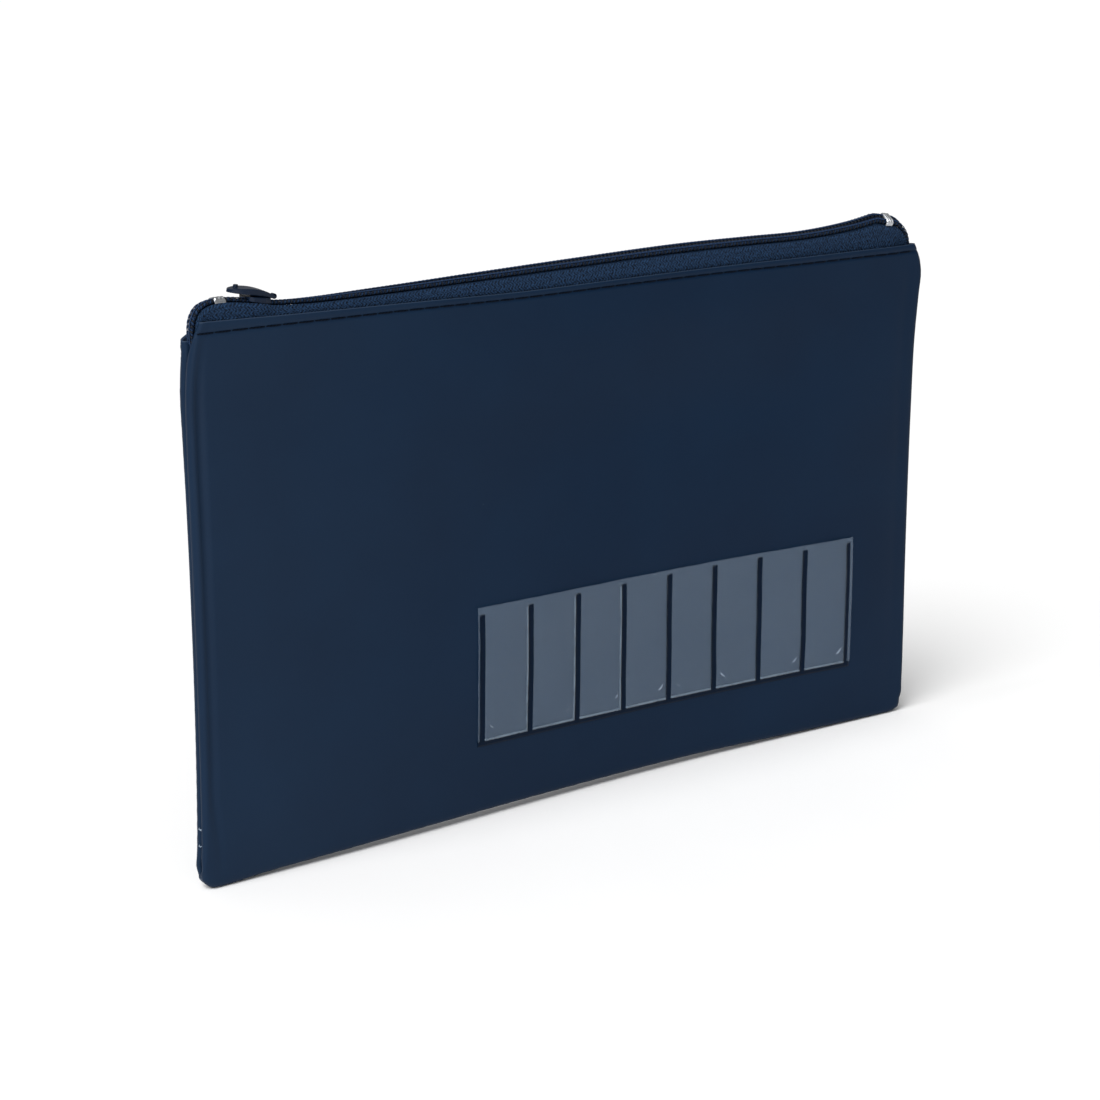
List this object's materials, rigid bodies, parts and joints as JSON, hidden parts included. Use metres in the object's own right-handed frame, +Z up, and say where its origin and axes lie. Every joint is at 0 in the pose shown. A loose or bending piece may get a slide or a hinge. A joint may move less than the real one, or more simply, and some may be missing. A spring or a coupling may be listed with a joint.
{
  "type": "zipped deposit pouch",
  "caption": "Flat pouch of navy coated fabric, closed at the top by a coil zip, with a clear welded strip of label pockets low on its front.",
  "frame": {"origin": "under the middle of the pouch, on the surface that it stands on", "axes": "+X along the zip from the slider's closed end, +Y through the thickness towards the back panel, +Z up from the bottom fold to the zip"},
  "size_m": [0.23, 0.0108, 0.1505],
  "materials": {
    "coated_fabric": "satin PVC coating, very fine grain",
    "clear_sheet": "clear flexible PVC, glossy",
    "zip_tape": "woven polyester herringbone",
    "coil": "extruded nylon filament",
    "core_cord": "twisted polyester cord",
    "coil_thread": "polyester thread",
    "stop_metal": "bright crimped strip",
    "slider_paint": "satin navy paint on die casting",
    "hem_thread": "polyester sewing thread",
    "seam_thread": "polyester sewing thread"
  },
  "bodies": {
    "pouch": {"body_sheet": "coated_fabric", "window_sheet": "clear_sheet", "front_tape": "zip_tape", "back_tape": "zip_tape", "front_coil": "coil", "back_coil": "coil", "front_core_cord": "core_cord", "back_core_cord": "core_cord", "front_coil_thread": "coil_thread", "back_coil_thread": "coil_thread", "left_stop": "stop_metal", "right_stop": "stop_metal", "front_hem_needle_thread": "hem_thread", "front_hem_bobbin_thread": "hem_thread", "back_hem_needle_thread": "hem_thread", "back_hem_bobbin_thread": "hem_thread", "left_seam_needle_thread": "seam_thread", "left_seam_bobbin_thread": "seam_thread", "right_seam_needle_thread": "seam_thread", "right_seam_bobbin_thread": "seam_thread"},
    "slider": {"slider_body": "slider_paint"},
    "pull": {"slider_pull": "slider_paint"}
  },
  "joints": [
    {"name": "slider_travel", "type": "slide", "parent": "pouch", "child": "slider", "axis": [1, 0, 0], "range_m": [-0.0037, 0.1924], "deforming": ["front_coil", "back_coil", "front_core_cord", "back_core_cord", "front_coil_thread", "back_coil_thread"]},
    {"name": "pull_hinge", "type": "hinge", "parent": "slider", "child": "pull", "pos_m": [-0.0889, 0, 0.1473], "axis": [0, 1, 0], "range_deg": [0, 156]}
  ]
}
